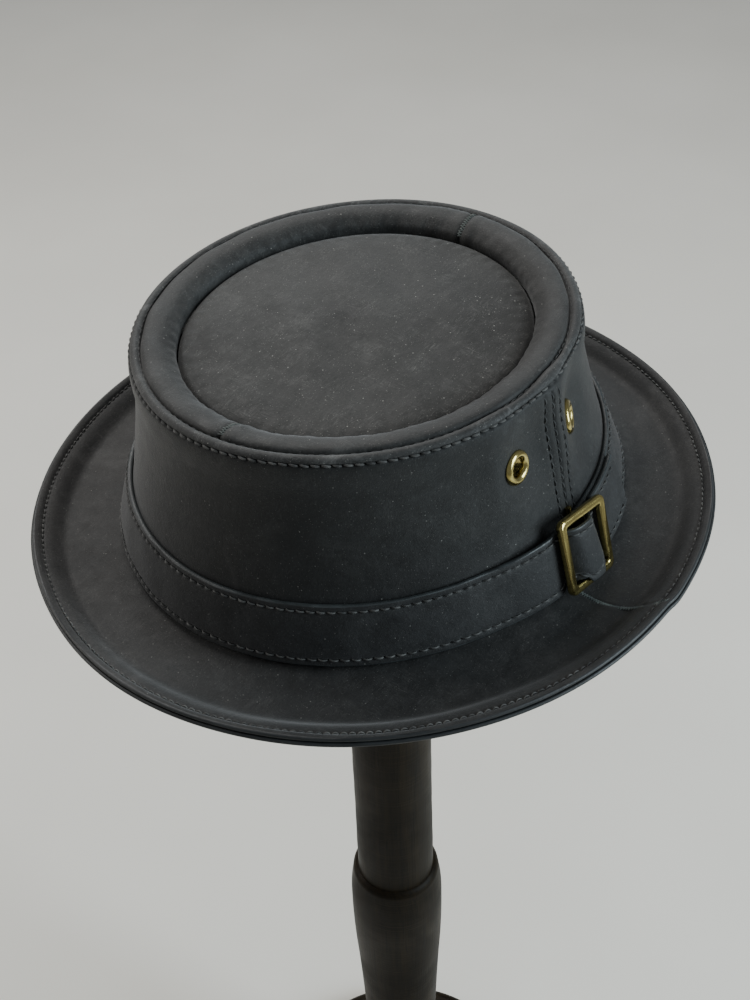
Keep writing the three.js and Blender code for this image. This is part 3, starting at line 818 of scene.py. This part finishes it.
# Roll and tip
ROLL_POINTS = np.array([TIP_EDGE + [out * ROLL_WIDTH, out * ROLL_WIDTH, height * ROLL_HEIGHT]
                        for out, height in ROLL_ROWS])
ROLL = Face(still(ROLL_POINTS), side=-1)


def roll_half(name, start, end):
    gap = ROLL_SEAM_GAP / TIP_EDGE[0]
    start, end = radians(start) + gap, radians(end) - gap
    angles = np.linspace(start, end, OVAL_STEPS)
    places = stations(ROLL, EDGE_ROOM, 0.75)

    def relief(angle, s):
        to_end = np.minimum(angle - start, end - angle) * (TIP_EDGE[0] + ROLL_WIDTH / 2)
        slow = 0.16 * np.sin(angle * 9 + 0.6) * np.sin(angle * 4.3)
        slow = slow + 0.1 * np.sin(angle * 23 + s / 4)
        pucker = 0.1 * np.sin(angle * 74 + 0.7 * np.sin(angle * 11)) * bump((s - 5.5) / 2.2)
        height = ridges(to_end, ROLL_END_RIDGES) + slow + pucker
        return height * fade(s, ROLL, 3, 3)

    piece = leather_piece(name + "_cover", ROLL, ROLL_LEATHER, angles, places, relief,
                          [ROLL_LOOK, EDGE_LOOK, FLESH_LOOK], whole=False)
    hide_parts(name)


def roll_threads(label, seam_at):
    places = np.linspace(4.6, ROLL.length - 5.2, ROLL_ZIGZAGS)
    angles = np.full(ROLL_ZIGZAGS, radians(seam_at))
    zigzag(f"roll_zigzag_{label}", ROLL, angles, places, 1.1, PALE_THREAD, radius=0.14, lift=0.1,
           sink=0.16)


def tip_rows():
    edge = TIP_EDGE - [TIP_INSET, TIP_INSET, 0]
    return np.array([(edge[0] * share, edge[1] * share,
                      edge[2] + TIP_DOME * (1 - share**2) - drop + TIP_LIFT)
                     for share, drop in TIP_ROWS])


TIP = Face(still(tip_rows()))


def crown_tip():
    angles = even_angles(OVAL_STEPS)
    places = stations(TIP, EDGE_ROOM, 1.3, [6.2 + TIP_FLANGE], 0.5, 4.5, 0.02)

    def relief(angle, s):
        x, y, _ = np.moveaxis(TIP.point(angle, s), -1, 0)
        s = s - TIP_FLANGE
        slow = 0.28 * np.sin(x / 11 + 0.8) * np.sin(y / 13 + 1.9) + 0.16 * np.sin(x / 5.5 - y / 7.5)
        pucker = 0.12 * np.sin(angle * 61 + 1.3 * np.sin(angle * 7)) * bump((s - 7.5) / 2.4)
        return (slow * np.clip((s - 5) / 9, 0, 1) + pucker) * np.clip((s - 4.4) / 2, 0, 1)

    piece = leather_piece("tip_panel", TIP, TIP_LEATHER, angles, places, relief,
                          [TIP_LOOK, EDGE_LOOK, FLESH_LOOK])
    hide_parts("crown_tip")


# Brim
def brim_rows(angle):
    """Rows of the brim's upper face at each angle."""
    curl = np.cos(angle - radians(CURL_HEADING)) ** 2
    shift = BRIM_SHIFT * np.cos(angle - radians(BRIM_SHIFT_HEADING)) + BRIM_FLARE * curl
    beyond = np.degrees(wrapped(angle - radians(BRIM_SEAM_TO)))
    onset = 1 + np.exp(np.clip(-beyond * 1.6, -60, 60))
    kink = RIM_KINK * np.exp(-np.maximum(beyond, 0) / RIM_KINK_FADE) / onset
    rows = np.empty((len(angle), len(BRIM_ROWS), 3))
    for i, (out, dip, flat, curled) in enumerate(BRIM_ROWS):
        low, high = RIM_RISE_FLAT * flat, RIM_RISE_CURLED * curled
        for axis, size, foot in ((0, BRIM_LENGTH, HEAD_LENGTH), (1, BRIM_WIDTH, HEAD_WIDTH)):
            rows[:, i, axis] = foot / 2 + out * (size / 2 + shift - foot / 2) + kink * out**6
        rows[:, i, 2] = -BRIM_DIP * dip + low + (high - low) * curl
    return rows


BRIM = Face(brim_rows, side=-1, true_end=RIM_TRUE_WIDTH)


class Underside:
    """The brim's lower face, seen from below."""
    length = BRIM.length

    @staticmethod
    def frame(angle, s):
        point, along, round_, normal = BRIM.frame(angle, s)
        return point - normal * (2 * BRIM_LEATHER + GAP), along, round_, -normal


RIM_ROW_S = BRIM.length - RIM_ROW_INSET
RIM_COUNT = round(tau * RIM_ROW_RADIUS / BRIM_PITCH)
RIM_HOLES = even_angles(RIM_COUNT, more=1)


def brim_seam_angle(s):
    share = s / BRIM.length
    return np.radians(BRIM_SEAM_FROM + (BRIM_SEAM_TO - BRIM_SEAM_FROM) * share**2.2)


def rim_row(angle, s, groove, hole):
    return row_relief(angle / tau * RIM_COUNT, s - RIM_ROW_S, BRIM_PITCH, groove, hole)


def brim_layer(name, node, face, rounds, spacing, relief):
    """One of the brim's two leathers."""
    angles = even_angles(RIM_COUNT * rounds)
    step, fine_step, reach = spacing
    places = stations(BRIM, 0.6, step, [RIM_ROW_S], fine_step, reach)

    def faded(angle, s):
        return relief(angle, s) * fade(s, BRIM, 4, 1.2, 0.1)

    piece = leather_piece(name, face, BRIM_LEATHER, angles, places, faded,
                          [BRIM_LOOK, EDGE_LOOK, EDGE_LOOK], inner_every=5)
    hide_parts(node)


def upper_relief(angle, s):
    height = rim_row(angle, s, 0.3, 0.34) + ridges(s - RIM_ROW_S, RIM_ROW_RIDGES)
    uneven = 0.8 + 0.2 * np.sin(3 * angle + 0.6) + 0.1 * np.sin(7 * angle)
    height = height + ridges(BRIM.length - s, RIM_FOLDS) * uneven
    off = wrapped(angle - brim_seam_angle(s)) * BRIM_SEAM_RADIUS
    slow = 0.22 * np.sin(angle * 5 + 0.4) * np.sin(s / 9) + 0.12 * np.sin(angle * 13 + s / 6)
    return height + ridges(off, BRIM_SEAM_RIDGES) + slow


def lower_relief(angle, s):
    return rim_row(angle, s, 0.22, 0.3) + 0.15 * np.sin(angle * 7 + 1.1) * np.sin(s / 8)


def brim():
    brim_layer("brim_upper", "brim_top", BRIM, 4, (1.15, 0.34, 1.4), upper_relief)
    stitch_row("rim_stitches", BRIM, RIM_HOLES, RIM_ROW_S, RIM_THREAD, slant=0.1, radius=0.24,
               lift=0.3)
    brim_layer("brim_lower", "brim_under", Underside, 3, (1.5, 0.45, 1.35), lower_relief)
    stitch_row("rim_stitches_under", Underside, RIM_HOLES, RIM_ROW_S, RIM_THREAD, slant=0.05,
               radius=0.26, lift=0.3)


def brim_seam_threads():
    places = np.linspace(4.5, BRIM.length - 7.5, BRIM_ZIGZAGS)
    zigzag("brim_zigzag", BRIM, brim_seam_angle(places), places, 0.8, PALE_THREAD, radius=0.15,
           lift=0.14, sink=0.14)
    places = np.linspace(BRIM.length - 9.5, BRIM.length - 1.4, TACK_ZIGZAGS)
    for turn in range(3):
        angles = brim_seam_angle(places) + radians(0.35 * (turn - 1))
        zigzag(f"brim_tack_{turn}", BRIM, angles, places + 0.2 * turn, 1.5, PALE_THREAD,
               radius=0.15, lift=0.18, sink=0.14)


# Band
def wall_at(height):
    """Crown wall's outer oval at a height."""
    return np.array([*(np.interp(height, WALL[:, 2], WALL[:, i]) for i in (0, 1)), height])


BAND_LOW = wall_at(BAND_FOOT)
BAND_SLOPE = atan2((BAND_LOW - wall_at(BAND_FOOT + BAND_WIDTH))[:2].mean(), BAND_WIDTH)
BAND_HIGH = wall_at(BAND_FOOT + BAND_WIDTH * cos(BAND_SLOPE))
BAND_RADIUS = (BAND_LOW[0] + BAND_HIGH[1]) / 2
TAIL_LIFT = BAND_LEATHER + TAIL_PLAY
# Shares of the band's width and of its dome
BAND_ACROSS = [(0, 0), (0.12, 0.6), (0.5, 1), (0.88, 0.6), (1, 0)]


def band_rows(angle):
    """The band's outer face, whose tail rises over the strap's first end."""
    turn = np.degrees(angle)
    start, stop = BUCKLE_AT + 360 - TAIL_RISES_FROM, BUCKLE_AT + 360 - TAIL_RISES_TO
    distance = BAND_PLAY + BAND_LEATHER + TAIL_LIFT * ease((turn - start) / (stop - start))
    off = np.radians(turn - BUCKLE_AT - 360) * BAND_RADIUS
    window = BUCKLE_LENGTH / 2 - BUCKLE_BAR
    reach = np.clip(np.abs(off + WINDOW_LEAN) / (window - WINDOW_LEAN), 0, 1)
    distance = distance + WINDOW_BULGE * (1 - reach**3)
    held = ease((BUCKLE_LENGTH / 2 - np.abs(off)) / BUCKLE_BAR)
    over = ease((0.52 - reach) / 0.16) * WINDOW_OVERLAP
    shift = held * (BUCKLE_RAISE + tan(radians(BUCKLE_TILT)) * off)
    rows = np.empty((len(angle), len(BAND_ACROSS), 3))
    for i, (up, dome) in enumerate(BAND_ACROSS):
        across = (up - 0.5) * BAND_WIDTH
        across = across * (1 - held * WINDOW_SQUEEZE) + shift - over * max(0, 1 - 2 * up)
        base = BAND_LOW + (BAND_HIGH - BAND_LOW) * (0.5 + across[:, None] / BAND_WIDTH)
        out = distance + BAND_DOME * (dome - 1)
        slope = [cos(BAND_SLOPE), cos(BAND_SLOPE), sin(BAND_SLOPE)]
        rows[:, i] = base + out[:, None] * slope
    return rows


BAND = Face(band_rows)


def hat_band():
    tilt = abs(radians(BUCKLE_TILT))
    free = PIN_WIDTH / 2 + BUCKLE_HEIGHT / 2 * sin(tilt) + GAP
    start, end = radians(BUCKLE_AT) + free / BAND_RADIUS, radians(TAIL_END_AT + 360)
    count = round((end - start) * BAND_RADIUS / BAND_PITCH)
    angles = np.linspace(start, end, count * 6 + 1)
    rows = (BAND_ROW_INSET, BAND.length - BAND_ROW_INSET)
    places = stations(BAND, 0.9, 1.2, rows, 0.36, 1.4)

    def relief(angle, s):
        along = (angle - start) / (end - start) * count
        slow = 0.1 * np.sin(angle * 11 + 0.9) * np.sin(s / 5) + 0.08 * np.sin(angle * 27 + s / 7)
        return sum(row_relief(along, s - row, BAND_PITCH, 0.26, 0.42) for row in rows) + slow

    piece = leather_piece("band_strap", BAND, BAND_LEATHER, angles, places, relief,
                          [BAND_LOOK, BAND_EDGE_LOOK, FLESH_LOOK], whole=False)
    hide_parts("hat_band")
    holes = np.linspace(start, end, count + 1)[1:-1]
    for label, row in zip(("low", "high"), rows):
        stitch_row(f"band_stitches_{label}", BAND, holes, row, BEAD_THREAD, slant=0.18, radius=0.3)


# Brass
def on_wall(angle, point, slope):
    """Matrix of a piece on the crown: X is right along the wall, Y up it and Z out of it."""
    outward = Vector((point[1] * cos(angle), point[0] * sin(angle), 0)).normalized()
    right = Vector((-outward.y, outward.x, 0))
    normal = outward * cos(slope) + Vector((0, 0, sin(slope)))
    up = normal.cross(right)
    place = Matrix((right, up, normal)).transposed().to_4x4()
    place.translation = (point[0] * cos(angle), point[1] * sin(angle), point[2])
    return place


def placed(points, matrix):
    matrix = np.array(matrix)
    return points @ matrix[:3, :3].T + matrix[:3, 3]


def corner_outline(length, height, round_):
    """Rounded rectangle, with as many points for any size or rounding."""
    points = []
    for k, (sx, sy) in enumerate(((1, 1), (-1, 1), (-1, -1), (1, -1))):
        for turn in np.linspace(0, pi / 2, 9) + k * pi / 2:
            points.append((sx * (length / 2 - round_) + round_ * cos(turn),
                           sy * (height / 2 - round_) + round_ * sin(turn)))
    return np.array(points)


def box_points(width, height, low, high, bevel=0.3):
    """A bar along Y with bevelled long edges: rings of eight points."""
    x, y, b = width / 2, height / 2, bevel
    ring = [(-x + b, low), (x - b, low), (x, low + b), (x, high - b), (x - b, high),
            (-x + b, high), (-x, high - b), (-x, low + b)]
    return np.array([[(px, py, pz) for px, pz in ring] for py in (-y, y)])


def buckle():
    outer = corner_outline(BUCKLE_LENGTH, BUCKLE_HEIGHT, BUCKLE_ROUND)
    inner = corner_outline(BUCKLE_LENGTH - 2 * BUCKLE_BAR, BUCKLE_HEIGHT - 2 * BUCKLE_BAR, 0.8)
    sides, rings = 28, []
    for turn in even_angles(sides):
        across = 0.5 + 0.5 * copysign(abs(cos(turn)) ** 0.5, cos(turn))
        depth = BUCKLE_DEPTH * (0.5 + 0.5 * copysign(abs(sin(turn)) ** 0.6, sin(turn)))
        flat = inner + (outer - inner) * across
        rings.append(np.column_stack([flat, np.full(len(flat), depth)]))
    loop = np.stack(rings, 1)
    pieces = [(loop.reshape(-1, 3), [tube_faces(len(loop), sides, True)])]
    behind = BAND_LEATHER + 2 * GAP + PIN_DEPTH
    tilt = abs(radians(BUCKLE_TILT))
    reach = (BAND_WIDTH / 2 + BUCKLE_RAISE + PIN_WIDTH / 2 * sin(tilt)) / cos(tilt) + GAP
    bar = box_points(PIN_WIDTH, 2 * (reach + PIN_LEG), -behind, PIN_DEPTH - behind)
    leg = box_points(PIN_WIDTH, PIN_LEG, -behind + 0.2, BUCKLE_DEPTH / 2, 0.25)
    ends = np.array([range(8)[::-1], range(8, 16)])
    for part in (bar, leg - [0, reach + PIN_LEG / 2, 0]):
        pieces.append((part.reshape(-1, 3), [tube_faces(2, 8, False), ends]))
    points, quads, octagons, start = [], [], [], 0
    for vertices, faces in pieces:
        sign = 1 if signed_volume(vertices, faces) > 0 else -1
        points.append(vertices)
        quads.append(faces[0][:, ::sign] + start)
        octagons += [face[:, ::sign] + start for face in faces[1:]]
        start += len(vertices)
    distance = BAND_PLAY + TAIL_LIFT + BAND_LEATHER + GAP
    middle = wall_at(BAND_FOOT + BAND_WIDTH * cos(BAND_SLOPE) / 2)
    place = on_wall(radians(BUCKLE_AT), middle, BAND_SLOPE)
    place = place @ Matrix.Translation((0, BUCKLE_RAISE, 0))
    place = place @ Matrix.Rotation(radians(BUCKLE_TILT), 4, "Z")
    points = placed(np.vstack(points), place @ Matrix.Translation((0, 0, distance)))
    faces = [np.vstack(quads), np.vstack(octagons)]
    piece = make_object("brass_buckle", points, faces, [BRASS], sharp=50)
    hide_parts("buckle")


def lathe(name, profile, segments, material, place=None, sharp=40):
    """Turned solid from (radius, height) points, or a ring if they don't start on the axis.
    It is in the hat's frame if it has a place there."""
    solid = profile[0][0] == 0
    body = profile[1:-1] if solid else profile
    points = [(r * cos(a), r * sin(a), z) for a in even_angles(segments) for r, z in body]
    count = len(body)
    faces = [tube_faces(segments, count, True)]
    if solid:
        faces = [faces[0].reshape(segments, count, 4)[:, :-1].reshape(-1, 4)]
        low = np.arange(segments) * count
        after, middle = np.roll(low, -1), np.full(segments, segments * count)
        faces.append(np.vstack([np.stack([low, after, middle], 1),
                                np.stack([after, low, middle + 2 - count], 1) + count - 1]))
        points += [(0, 0, profile[0][1]), (0, 0, profile[-1][1])]
    points = np.array(points)
    if place is not None:
        points = placed(points, place)
    return make_object(name, points, faces, [material], in_hat=place is not None, sharp=sharp)


def eyelet(name, spread):
    """Rolled brass ring with its tube through the wall and a flange inside."""
    middle, half = (EYELET_HOLE + EYELET_RIM) / 2, (EYELET_RIM - EYELET_HOLE) / 2
    profile = [(middle + half * cos(turn), 0.15 + EYELET_CREST * sin(turn))
               for turn in np.linspace(pi, 0, 15)]
    tube = EYELET_HOLE + EYELET_TUBE
    inside = -CROWN_LEATHER - 2 * GAP
    flange = (tube + EYELET_RIM) / 2
    outmost = inside - EYELET_TUBE
    profile += [(EYELET_RIM - 0.1, -0.1), (tube, -0.1), (tube, inside), (flange, inside),
                (flange + 0.1, inside - 0.3), (flange, outmost), (EYELET_HOLE + 0.2, outmost),
                (EYELET_HOLE, inside - 0.2)]
    piece = lathe("brass_" + name, profile, 56, BRASS, eyelet_place(spread), sharp=60)
    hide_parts(name)


# Stand
def turned(name, profile, segments, node):
    piece = lathe(name, profile, segments, WOOD)
    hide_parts(node)


def stand():
    foot, top = BASE_THICKNESS + GAP, BASE_THICKNESS + POST_HEIGHT
    rows = [(height, share * POST_RADIUS) for height, share in POST_FOOT]
    rows += [(height, POST_RADIUS + share * (KNOB_RADIUS - POST_RADIUS))
             for height, share in POST_SWELL]
    knots, radii = np.array(rows).T * [[KNOB_HEIGHT], [1]]
    slopes = np.gradient(radii, knots)
    profile = [(0, foot)]
    for height in np.linspace(0, knots[-1], 150):
        i = min(int(np.searchsorted(knots, height, side="right")) - 1, len(knots) - 2)
        span = knots[i + 1] - knots[i]
        go, stop = slopes[i] * span, slopes[i + 1] * span
        radius = hermite((height - knots[i]) / span, radii[i], radii[i + 1], go, stop)
        profile.append((radius, foot + height))
    step = foot + KNOB_STEP * KNOB_HEIGHT
    profile += [(POST_RADIUS + 0.9, step - 0.2), (POST_RADIUS + 0.1, step + 0.1),
                (POST_RADIUS - 0.1, step + 0.8)]
    for share in np.linspace(0.01, 1, 60)[:-1]:
        height = step + (top - step) * share
        radius = POST_RADIUS + (POST_TOP_RADIUS - POST_RADIUS) * share
        profile.append((radius + 0.05 * sin(height / 3.1) + 0.06 * sin(height / 11), height))
    profile += [(POST_TOP_RADIUS, top - 0.8), (POST_TOP_RADIUS - 0.7, top), (0, top)]
    turned("turned_post", profile, 120, "stand_post")

    profile = [(0, 0), (BASE_RADIUS - 3, 0), (BASE_RADIUS - 1, 0.6), (BASE_RADIUS - 0.2, 2)]
    for turn in np.linspace(0, pi / 2, 13):
        profile.append((BASE_RADIUS - BASE_ROUND + BASE_ROUND * cos(turn),
                        BASE_THICKNESS - BASE_ROUND + BASE_ROUND * sin(turn)))
    for off, depth in BASE_GROOVE:
        profile.append((BASE_RADIUS - BASE_ROUND - 6 + off, BASE_THICKNESS - depth))
    profile += [(30, BASE_THICKNESS), (0, BASE_THICKNESS)]
    turned("turned_base", profile, 160, "stand_base")

    low = top + GAP
    rim = CAP_TOP - CAP_RADIUS**2 / (2 * CAP_CURVE)
    side = rim - CAP_THICKNESS / 3
    profile = [(0, low), (POST_TOP_RADIUS * 1.3, low), (CAP_RADIUS - 0.6, side),
               (CAP_RADIUS, side + 1), (CAP_RADIUS, rim - 1.2), (CAP_RADIUS - 0.4, rim - 0.4)]
    for radius in CAP_RADIUS * np.linspace(0.96, 0.04, 14):
        profile.append((radius, CAP_TOP - radius**2 / (2 * CAP_CURVE)))
    profile.append((0, CAP_TOP))
    turned("turned_cap", profile, 96, "stand_cap")


# Stage, lights and camera
def aimed(data, at, aim, scale=1, roll=0):
    """Camera or light at a place, looking at another."""
    piece = bpy.data.objects.new(data.name, data)
    turn = (Vector(aim) - Vector(at)).to_track_quat("-Z", "Y")
    piece.location = Vector(at) * scale
    piece.rotation_mode = "QUATERNION"
    piece.rotation_quaternion = turn @ Quaternion((0, 0, 1), radians(roll))
    link(piece)
    return piece


def add_camera():
    data = bpy.data.cameras.new("camera")
    data.sensor_fit = "HORIZONTAL"
    data.sensor_width = 36
    data.lens = CAMERA_LENS
    bpy.context.scene.camera = aimed(data, CAMERA_AT, CAMERA_AIM, MM, CAMERA_ROLL)


def add_light(name, aim, size, power, colour):
    """A soft light at a heading, an elevation and a distance from the hat."""
    heading, elevation, distance = aim
    level = radians(elevation)
    at = turned_point(distance * cos(level), heading, LIGHTS_OVER + distance * sin(level))
    data = bpy.data.lights.new(name, "AREA")
    data.shape = "RECTANGLE"
    data.size, data.size_y = size
    data.energy = power
    data.color = colour
    aimed(data, at, LIGHTS_AIM)


def add_stage():
    n = Nodes("floor")
    tone = n.fit(n.noise(3, 3), 0.3, 0.7)
    floor_material = n.finish(n.mix(tone, (0.76, 0.735, 0.67), (0.82, 0.795, 0.73)), 0.85)
    mesh = bpy.data.meshes.new("floor")
    reach = FLOOR_REACH
    corners = [(-reach, -reach, 0), (reach, -reach, 0), (reach, reach, 0), (-reach, reach, 0)]
    mesh.from_pydata(corners, [], [(0, 1, 2, 3)])
    mesh.materials.append(floor_material)
    floor = bpy.data.objects.new("floor", mesh)
    link(floor)
    world = bpy.data.worlds.new("studio")
    world.use_nodes = True
    background = world.node_tree.nodes["Background"]
    background.inputs["Color"].default_value = (0.9, 0.95, 1, 1)
    background.inputs["Strength"].default_value = 0.22
    bpy.context.scene.world = world
    add_light("back_softbox", (62, 50, 1.7), (1.3, 1.1), 24, (1, 0.98, 0.95))
    add_light("left_softbox", (120, 17, 1.6), (0.8, 1.2), 8.5, (1, 0.97, 0.92))
    add_light("right_window", (-72, 20, 1.5), (0.7, 1.1), 29, (0.8, 0.93, 1))


add_camera()
add_stage()
stand()
crown_side()
roll_half("roll_left", ROLL_SEAMS_AT[0], ROLL_SEAMS_AT[1])
roll_half("roll_right", ROLL_SEAMS_AT[1], ROLL_SEAMS_AT[0] + 360)
roll_threads("front", ROLL_SEAMS_AT[0])
roll_threads("back", ROLL_SEAMS_AT[1])
crown_tip()
brim()
brim_seam_threads()
hat_band()
buckle()
for eyelet_name, eyelet_spread in EYELET_SPREADS.items():
    eyelet(eyelet_name, eyelet_spread)
